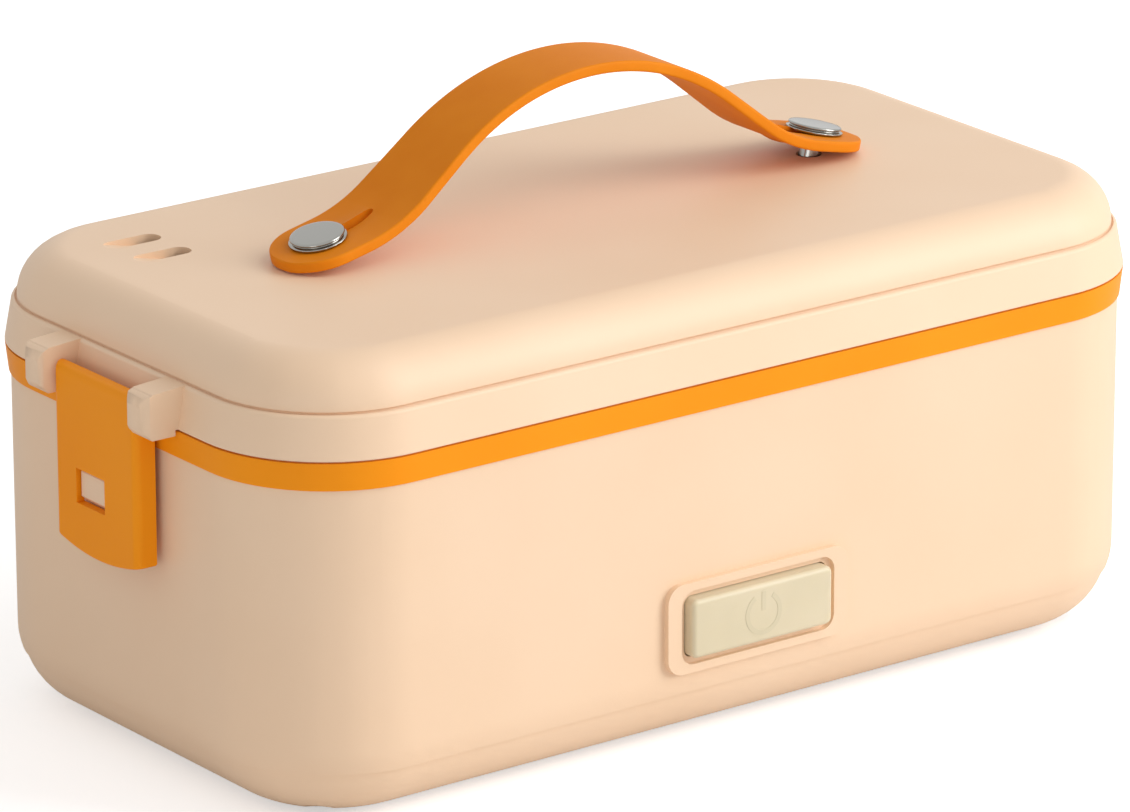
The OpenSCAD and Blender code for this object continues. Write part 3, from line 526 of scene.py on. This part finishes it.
def strap_surface():
    """The flat pattern as two grids, two rim strips and the walls of holes and slits.

    Upper and lower grid share their places (s, y). A rim strip carries a quarter circle, an
    edge and a quarter circle round the outline: inset i and depth d follow i = r (1 - cos t),
    d = r (1 - sin t) above and the same mirrored below.
    """
    s = strap_rows()
    inner = np.maximum(half_width(s) - RIM_R, 0)
    inner_s = np.sign(s) * np.minimum(np.abs(s), STUD_S + END_R - RIM_R)
    y = strap_columns(s, inner)
    rows, columns = y.shape
    flat_s, y = onto_hole(np.repeat(inner_s[:, None], columns, axis=1), y)
    rise = lip(flat_s, y)
    points = [bend(flat_s, y, depth - rise).reshape(-1, 3) for depth in (0, STRAP_T)]
    faces = strap_faces_and_walls(s, rows, columns)

    t = np.linspace(math.pi / 2, 0, 6)
    share = np.concatenate([1 - np.cos(t), 1 - np.cos(t[::-1])])[None, :]
    depth = np.concatenate([RIM_R * (1 - np.sin(t)), STRAP_T - RIM_R * (1 - np.sin(t[::-1]))])
    outline_s = s[:, None] * (1 - share) + inner_s[:, None] * share
    outline_y = half_width(s)[:, None] * (1 - share) + inner[:, None] * share
    for strip, side in enumerate((-1, 1)):
        points.append(bend(outline_s, side * outline_y, depth[None, :]).reshape(-1, 3))
        faces += grid_faces(rows, share.size, rows * (2 * columns + strip * share.size))
    return np.concatenate(points), faces


strap_points, strap_faces = strap_surface()
strap = piece("strap_silicone_band", strap_points, strap_faces, "lid",
              ["strap_handle"])
strap.data.materials.append(strap_silicone)
crisp(strap, 50)
print("strap:", len(strap.data.vertices), "points")

# %% [markdown]
# ## Studs
# Each end of the strap is held by a turned steel stud with a broad, slightly crowned head on
# a thin flange, and a dark groove between the two. A turned piece is a profile carried round
# an axis, so that is how it is made, and it leans outwards with the strap's end.


# %% Studs
def turned(profile, place_mm, lean, turns=96):
    """A profile (r, h) turned about an axis that leans by an angle in the x-z plane.

    A point is place + r cos t * across + r sin t * y + h * axis, with across = (cos l, 0,
    -sin l) and axis = (sin l, 0, cos l) for the lean l.
    """
    r, h = np.asarray(profile, float).T
    t = np.linspace(0, 2 * math.pi, turns, endpoint=False)
    across = np.array([math.cos(lean), 0, -math.sin(lean)])
    axis = np.array([math.sin(lean), 0, math.cos(lean)])
    points = (np.asarray(place_mm, float)
              + (r[:, None] * np.cos(t)[None, :])[..., None] * across
              + (r[:, None] * np.sin(t)[None, :])[..., None] * np.array([0, 1, 0])
              + (h[:, None] * np.ones(turns)[None, :])[..., None] * axis)
    return points.reshape(-1, 3), grid_faces(len(r), turns, 0, wrap=True)


CROWN_R, CROWN_RISE, HEAD_H = 5.75, 0.05, 1.82
crown = np.linspace(0, CROWN_R, 12)
stud_profile = np.concatenate([
    np.stack([crown, HEAD_H - CROWN_RISE * (crown / CROWN_R) ** 2], axis=1),  # crowned top
    [[5.95, 1.68], [6.05, 1.55], [6.05, 1.3], [5.6, 1.1], [5.6, 0.85]],       # edge, groove
    [[6.4, 0.7], [6.45, 0.6], [6.45, 0.3], [6.2, 0.1]],                       # flange
    [[2.5, 0.1], [2.5, -11.8], [2.1, -12.2], [0, -12.2]]])                    # stem
left_points, stud_faces = turned(stud_profile, (-STUD_X, 0, SEAT_Z), -TILT)
right_points, _ = turned(stud_profile, (STUD_X, 0, SEAT_Z), TILT)
right_faces = (np.array(stud_faces) + len(left_points)).tolist()
studs = piece("turned_steel_studs", np.concatenate([left_points, right_points]),
              stud_faces + right_faces, "lid", ["studs"])
studs.data.materials.append(plated_steel)
soften(studs, 0.12, 2, 30)
print("studs:", len(studs.data.vertices), "points")

# %% [markdown]
# ## The latches
# Each latch is one moulding: a plate with a hook round its pin at the top, two side walls
# that turn back towards the box, a bowed lower edge and a window that snaps over a tooth.
# Its outer measures are read from the solid that it takes the place of.

# %% Latch measures
latch_low, latch_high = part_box("latch_right")
LATCH_FACE, LATCH_BACK = latch_high.x / MM, latch_low.x / MM
LATCH_HALF, LATCH_LOW = latch_high.y / MM, latch_low.z / MM
pin_low, pin_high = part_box("latch_pins")
PIN_X = pin_high.x / MM - 1.0             # a pin is 2 mm thick
PIN_Z = (pin_low.z + pin_high.z) / 2 / MM
BARREL_R = LATCH_FACE - PIN_X             # outer radius of the hook round the pin
PLATE_T, SIDE_R, FOOT_R, BOW = 2.0, 1.7, 0.5, 2.3
WALL_TOP = 1.2                            # the side walls end this far below the pin
HOOK_FROM, HOOK_TO = 0.12, math.radians(210)     # angles about the pin, from the front
SQUARER = (0.55, 0.8)                     # powers that draw the hook's front to a corner
WINDOW_Y = (-7.3, 3.5)
WINDOW_Z = (PIN_Z - 27.3, PIN_Z - 19.5)
FOOT_STEPS, BELOW = 5, 3                  # points on the foot's round, and up to the window
LEVELS = np.concatenate([
    LATCH_LOW + 3 + np.linspace(0.15, 0.85, BELOW) * (WINDOW_Z[0] - LATCH_LOW - 3),
    WINDOW_Z, PIN_Z - np.array([14, 7, 0])])
print(f"latch {2 * LATCH_HALF:.1f} mm wide, pin at x {PIN_X:.1f}, z {PIN_Z:.1f}")

# %% [markdown]
# ### The latch's section
# Its section in the x-z plane is a closed loop, so the latch is that loop carried across its
# width, with the front drawn back in a quarter circle at both sides.


# %% Latch section
def latch_columns():
    """Places across the latch: dense in the rounded sides, with lines on walls and window."""
    t = np.linspace(0, math.pi / 2, 8)
    round_y = LATCH_HALF - SIDE_R + SIDE_R * np.sin(t)
    wall = LATCH_HALF - PLATE_T
    half = np.sort(np.concatenate([round_y, [wall - 0.01, wall]]))
    middle = 1.75 * np.arange(-7, 8)
    clear = np.min(np.abs(middle[:, None] - np.array(WINDOW_Y)), axis=1) > 0.6
    middle = middle[clear]                # no line runs close beside the window's own
    return np.unique(np.concatenate([-half, middle, WINDOW_Y, half]))


def latch_loops(y):
    """The closed loop (x, z) at each place y across the latch, one row for each place.

    Front: x = face - R + sqrt(R^2 - (|y| - (half - R))^2) in the rounded sides and face
    elsewhere. Lower edge: z = low + bow * (y / half)^2. Hook: x = pin + (front - pin) *
    cos(t)^p and z = pin + r * sin(t)^q to its top, then a plain arc about the pin. The loop
    runs up the front, over the hook, down the back, which lies deeper where a side wall is,
    and round the lower edge.
    """
    a = np.abs(y)[:, None]
    one = np.ones_like(a)
    past = np.clip(a - (LATCH_HALF - SIDE_R), 0, SIDE_R)
    front = LATCH_FACE - SIDE_R + np.sqrt(SIDE_R ** 2 - past ** 2)
    foot = LATCH_LOW + BOW * (a / LATCH_HALF) ** 2 + FOOT_R
    wall = a >= LATCH_HALF - PLATE_T - 1e-6
    back = np.where(wall, LATCH_BACK, LATCH_FACE - PLATE_T)
    under = PIN_Z - np.where(wall, WALL_TOP, BARREL_R)
    quarter = np.linspace(0, math.pi / 2, FOOT_STEPS)
    over = np.linspace(HOOK_FROM, math.pi / 2, 9)
    behind = np.linspace(math.pi / 2, HOOK_TO, 9)[1:]
    x = [front - FOOT_R * (1 - np.sin(quarter)), front * np.ones(len(LEVELS)),
         PIN_X + (front - PIN_X) * np.cos(over) ** SQUARER[0],
         one * (PIN_X + BARREL_R * np.cos(behind)),
         np.where(wall, back, PIN_X), back * np.ones(len(LEVELS)),
         back + FOOT_R * (1 - np.cos(quarter))]
    z = [foot - FOOT_R * np.cos(quarter), one * LEVELS,
         one * (PIN_Z + BARREL_R * np.sin(over) ** SQUARER[1]),
         one * (PIN_Z + BARREL_R * np.sin(behind)),
         under, under - np.where(wall, 0.5, 0.6), one * LEVELS[-2::-1],
         foot - FOOT_R * np.sin(quarter)]
    return np.concatenate(x, axis=1), np.concatenate(z, axis=1)


print("loop:", latch_loops(latch_columns())[0].shape[1], "points")

# %% [markdown]
# ### The latch's surface
# The loops side by side make the surface. The window's cells are left out in front and behind
# and joined by four walls, and a cap closes each side. The two latches are the same part, one
# of them turned half round.


# %% Latches
def latch_surface():
    """All loops side by side, the window's walls, and a cap on each side."""
    y = latch_columns()
    x, z = latch_loops(y)
    columns, n = x.shape
    points = np.stack([x, np.repeat(y[:, None], n, axis=1), z], axis=-1).reshape(-1, 3)
    quads = np.array(grid_faces(columns, n, 0, wrap=True)).reshape(columns - 1, n, 4)
    mid_y = (y[1:] + y[:-1]) / 2
    here = np.where((mid_y > WINDOW_Y[0]) & (mid_y < WINDOW_Y[1]))[0]
    front_low = FOOT_STEPS + BELOW              # where the loop meets the window's sill
    back_low = n - 1 - FOOT_STEPS - BELOW
    front_top, back_top = front_low + 1, back_low - 1
    keep = np.ones((columns - 1, n), bool)
    keep[here, front_low] = False
    keep[here, back_top] = False
    a, b = here * n, (here + 1) * n
    first, last = a[0], b[-1]
    walls = np.concatenate([
        np.stack([a + front_low, b + front_low, b + back_low, a + back_low], axis=1),
        np.stack([a + front_top, a + back_top, b + back_top, b + front_top], axis=1),
        [[first + front_low, first + back_low, first + back_top, first + front_top],
         [last + front_low, last + front_top, last + back_top, last + back_low]]])
    caps = [list(range(n)), list(range((columns - 1) * n, columns * n))[::-1]]
    return points, quads[keep].tolist() + walls.tolist() + caps


latch_points, latch_faces = latch_surface()
for side, turn in (("right", 1), ("left", -1)):
    latch = piece(f"latch_cover_{side}", latch_points * np.array([turn, turn, 1]), latch_faces,
                  f"{side}_latch", [f"latch_{side}"])
    latch.data.materials.append(orange)
    soften(latch, 0.3, 3, 50)
print("latch:", len(latch_points), "points each")

# %% [markdown]
# ## The button
# The front button is a block of frosted silicone with soft edges. Its outline is a rounded
# oblong, and its section steps out to a lip behind the wall, which keeps it in. A small round
# plunger on its back reaches the switch.

# %% Power button
button_low, button_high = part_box("power_button")
BUTTON_FACE = button_low.y / MM
BUTTON_X = (button_low.x + button_high.x) / 2 / MM
BUTTON_Z = (button_low.z + button_high.z) / 2 / MM
LIP, LIP_T = 1.9, 1.0
PLUNGER_R, PLUNGER_H, PLUNGER_SHIFT = 2.0, 2.0, -9
ROOT = 0.1                                # the plunger's root lies this deep in the block
BUTTON_HALF = ((button_high.x - button_low.x) / 2 / MM - LIP,
               (button_high.z - button_low.z) / 2 / MM - LIP)
print(f"button {2 * BUTTON_HALF[0]:.1f} x {2 * BUTTON_HALF[1]:.1f} mm at x {BUTTON_X:.1f}")


def oblong(half_x, half_z, radius, steps=10):
    """Points round an oblong whose four corners are quarter circles of the radius."""
    t = np.linspace(0, math.pi / 2, steps)
    turn = np.concatenate([t, t + math.pi / 2, t + math.pi, t + 3 * math.pi / 2])
    sx = np.repeat([1, -1, -1, 1], steps)
    sz = np.repeat([1, 1, -1, -1], steps)
    return (sx * (half_x - radius) + radius * np.cos(turn),
            sz * (half_z - radius) + radius * np.sin(turn))


def lipped_block(half, corner, section):
    """Carries a section (offset, y) round an oblong: ring k is the oblong grown by offset k.

    A negative offset shrinks the ring, and the last one on each side closes on the middle
    line of the block.
    """
    rings = []
    for offset, y in section:
        grown = (max(half[0] + offset, 0.0), max(half[1] + offset, 0.0))
        x, z = oblong(*grown, min(max(corner + offset, 0.3), min(grown)))
        rings.append(np.stack([BUTTON_X + x, np.full_like(x, y), BUTTON_Z + z], axis=1))
    rings = np.array(rings)
    return rings.reshape(-1, 3), grid_faces(len(rings), rings.shape[1], 0, wrap=True)


EDGE_R = 1.1                              # rounding of the button's front edges
t = np.linspace(0, math.pi / 2, 7)
lip_y = button_high.y / MM - (PLUNGER_H - ROOT) - LIP_T      # front of the lip
rounding = np.stack([-EDGE_R * (1 - np.sin(t)), BUTTON_FACE + EDGE_R * (1 - np.cos(t))], axis=1)
section = [(-BUTTON_HALF[1], BUTTON_FACE), (-4, BUTTON_FACE), (-1.6, BUTTON_FACE),
           *rounding.tolist(), (0, lip_y), (LIP, lip_y), (LIP, lip_y + LIP_T),
           (-3, lip_y + LIP_T), (-BUTTON_HALF[1], lip_y + LIP_T)]
block_points, block_faces = lipped_block(BUTTON_HALF, 1.6, section)
r, h = np.array([[0, PLUNGER_R, PLUNGER_R, PLUNGER_R - 0.2, 0],
                 [0, 0, PLUNGER_H - 0.2, PLUNGER_H, PLUNGER_H]])[:, :, None]
t = np.linspace(0, 2 * math.pi, 32, endpoint=False)
plunger_points = np.stack([BUTTON_X + PLUNGER_SHIFT + r * np.cos(t),
                           lip_y + LIP_T - ROOT + h + 0 * t,
                           BUTTON_Z + r * np.sin(t)], axis=-1).reshape(-1, 3)
plunger_faces = grid_faces(5, 32, len(block_points), wrap=True)
button = piece("frosted_button", np.concatenate([block_points, plunger_points]),
               block_faces + plunger_faces, "button", ["power_button"])
button.data.materials.append(button_silicone)
print("button:", len(button.data.vertices), "points")

# %% [markdown]
# ### The sign on the button
# The sign is the plain power symbol, moulded from behind, so it shows only as a faint shade.
# It is a flat bar that follows an open ring, and a second one for the stem.


# %% Power sign
def bar_of(path_x, path_z, half, depth=0.06):
    """A flat bar along a path: its section is a low rectangle that stands on the face.

    Each path point gets four corners at plus and minus half across the path, on the face and
    depth in front of it.
    """
    step = np.stack([np.gradient(path_x), np.gradient(path_z)], axis=1)
    step /= np.linalg.norm(step, axis=1)[:, None]
    across = np.stack([-step[:, 1], step[:, 0]], axis=1)
    corners = []
    for sign, y in ((-1, 0), (-1, -depth), (1, -depth), (1, 0)):
        corners.append(np.stack([path_x + sign * half * across[:, 0],
                                 np.full_like(path_x, BUTTON_FACE + y),
                                 path_z + sign * half * across[:, 1]], axis=1))
    points = np.stack(corners, axis=1).reshape(-1, 3)
    faces = grid_faces(len(path_x), 4, 0, wrap=True)
    last = 4 * (len(path_x) - 1)
    return points, faces + [[0, 1, 2, 3], [last + 3, last + 2, last + 1, last]]


RING_R, RING_GAP, BAR_HALF = 4.4, 32, 0.55       # the gap is in degrees, on each side
STEM = (0.6, 5.0)
turn = np.radians(90 + np.linspace(RING_GAP, 360 - RING_GAP, 60))
ring = bar_of(BUTTON_X + RING_R * np.cos(turn), BUTTON_Z + RING_R * np.sin(turn), BAR_HALF)
stem = bar_of(np.full(8, BUTTON_X), BUTTON_Z + np.linspace(*STEM, 8), BAR_HALF)
sign_faces = ring[1] + [[v + len(ring[0]) for v in face] for face in stem[1]]
sign_shade = silicone("silicone_frosted_sign", "#D3C7A8", "#D7CBAD", rough=FROSTED)
sign = piece("power_sign", np.concatenate([ring[0], stem[0]]), sign_faces, "button")
sign.data.materials.append(sign_shade)
sign.data.polygons.foreach_set("use_smooth", np.zeros(len(sign.data.polygons), bool))
print("sign:", len(sign.data.vertices), "points")

# %% [markdown]
# ## World
# The studio is a white room. The camera, the metal and anything clear see it as plain white,
# while the light that it gives to matt surfaces is weaker, so that the lamps can shape the
# box.

# %% World
scene = bpy.context.scene
scene.view_settings.view_transform = "Standard"
AMBIENT = 0.55                            # light of the room on matt surfaces
WHITE = (1, 1, 1, 1)
world = bpy.data.worlds.new("studio")
scene.world = world
world.use_nodes = True
sky = world.node_tree
sky.nodes.clear()
rays = add(sky, "ShaderNodeLightPath")
clear_view = add(sky, "ShaderNodeMath", {"operation": "MAXIMUM"})
sky.links.new(rays.outputs["Is Camera Ray"], clear_view.inputs[0])
sky.links.new(rays.outputs["Is Transmission Ray"], clear_view.inputs[1])
seen = add(sky, "ShaderNodeMath", {"operation": "MAXIMUM"})
sky.links.new(clear_view.outputs["Value"], seen.inputs[0])
sky.links.new(rays.outputs["Is Glossy Ray"], seen.inputs[1])
soft_light = add(sky, "ShaderNodeBackground", {"Color": WHITE, "Strength": AMBIENT})
white_wall = add(sky, "ShaderNodeBackground", {"Color": WHITE, "Strength": 1.0})
choice = add(sky, "ShaderNodeMixShader", Fac=seen.outputs["Value"])
sky.links.new(soft_light.outputs["Background"], choice.inputs[1])
sky.links.new(white_wall.outputs["Background"], choice.inputs[2])
add(sky, "ShaderNodeOutputWorld", Surface=choice.outputs["Shader"])
print("world:", world.name, "gives", AMBIENT)

# %% [markdown]
# ## Floor
# The floor is matt white paper. It takes the box's shadow, and the camera sees a little glow
# on top of its lit colour, which brings it up to the white of the room.

# %% Floor
FLOOR_LIFT = 0.5                          # the glow that only the camera sees
FLOOR_HALF = 4.0                          # metres
floor_mesh = bpy.data.meshes.new("studio_floor")
floor_mesh.from_pydata([(-FLOOR_HALF, -FLOOR_HALF, 0), (FLOOR_HALF, -FLOOR_HALF, 0),
                        (FLOOR_HALF, FLOOR_HALF, 0), (-FLOOR_HALF, FLOOR_HALF, 0)],
                       [], [(0, 1, 2, 3)])
floor = bpy.data.objects.new("studio_floor", floor_mesh)
scene.collection.objects.link(floor)
paper = bpy.data.materials.new("studio_paper")
paper.use_nodes = True
tree = paper.node_tree
tree.nodes.clear()
rays = add(tree, "ShaderNodeLightPath")
matt = add(tree, "ShaderNodeBsdfDiffuse", {"Color": (0.85, 0.85, 0.85, 1)})
lift = add(tree, "ShaderNodeMath", {"operation": "MULTIPLY"})
lift.inputs[1].default_value = FLOOR_LIFT
tree.links.new(rays.outputs["Is Camera Ray"], lift.inputs[0])
glow = add(tree, "ShaderNodeEmission", {"Color": WHITE}, Strength=lift.outputs["Value"])
both = add(tree, "ShaderNodeAddShader")
tree.links.new(matt.outputs[0], both.inputs[0])
tree.links.new(glow.outputs[0], both.inputs[1])
add(tree, "ShaderNodeOutputMaterial", Surface=both.outputs[0])
floor_mesh.materials.append(paper)
print("floor:", 2 * FLOOR_HALF, "m wide")

# %% [markdown]
# ## Lamps
# A large soft lamp at the front right is the main light. A second one above it opens the
# top, and a weak low one keeps the left end from going grey. They stay at a level at which a
# colour renders about as it is written.


# %% Lamps
def lamp(name, place_mm, aim_mm, size_mm, watts):
    """A square area lamp that looks at a point."""
    data = bpy.data.lights.new(name, "AREA")
    data.size = size_mm * MM
    data.energy = watts
    obj = bpy.data.objects.new(name, data)
    obj.location = Vector(place_mm) * MM
    direction = (Vector(aim_mm) - Vector(place_mm)) * MM
    obj.rotation_euler = direction.to_track_quat("-Z", "Y").to_euler()
    scene.collection.objects.link(obj)
    return obj


lamps = [lamp("key_front_right", (1060, -1140, 620), (0, 0, 60), 900, 13.8),
         lamp("top_soft", (700, -700, 1200), (0, 0, 60), 900, 5.6),
         lamp("fill_left", (-1300, -800, 80), (0, 0, 40), 700, 3.0)]
print("lamps:", ", ".join(f"{obj.name} {obj.data.energy:.1f} W" for obj in lamps))

# %% [markdown]
# ## Camera
# The camera stands where the photograph was taken from: far away, with a long lens, so that
# the box's edges stay almost parallel. The focal length in picture widths and the shift of
# the picture against the lens axis give Blender's lens and shift.

# %% Camera
PHOTO = (1130, 812)                       # frame of the photograph, in its pixels
FOCAL_PX = 8138                           # focal length in those pixels
CENTRE_PX = (571.8, 432.5)                # where the lens axis meets the frame
CAMERA_AZIMUTH, CAMERA_ELEVATION, CAMERA_ROLL = -36.7, 18.84, -0.1
CAMERA_FAR_MM = 1799
aim = Vector((0, 0, 51.9)) * MM
a, e = math.radians(CAMERA_AZIMUTH), math.radians(CAMERA_ELEVATION)
back = Vector((math.sin(a) * math.cos(e), -math.cos(a) * math.cos(e), math.sin(e)))
camera_data = bpy.data.cameras.new("camera")
camera = bpy.data.objects.new("camera", camera_data)
scene.collection.objects.link(camera)
scene.camera = camera
camera_data.sensor_width = 36.0
camera_data.lens = FOCAL_PX * camera_data.sensor_width / PHOTO[0]
camera_data.shift_x = (PHOTO[0] / 2 - CENTRE_PX[0]) / PHOTO[0]
camera_data.shift_y = (CENTRE_PX[1] - PHOTO[1] / 2) / PHOTO[0]
camera_data.clip_start, camera_data.clip_end = 0.05, 50
camera.location = aim + back * CAMERA_FAR_MM * MM
turn_to_aim = (-back).to_track_quat("-Z", "Y").to_matrix()
roll = Matrix.Rotation(math.radians(CAMERA_ROLL), 3, "Z")
camera.rotation_euler = (turn_to_aim @ roll).to_euler()
print(f"camera lens {camera_data.lens:.0f} mm at {tuple(round(v, 3) for v in camera.location)}")
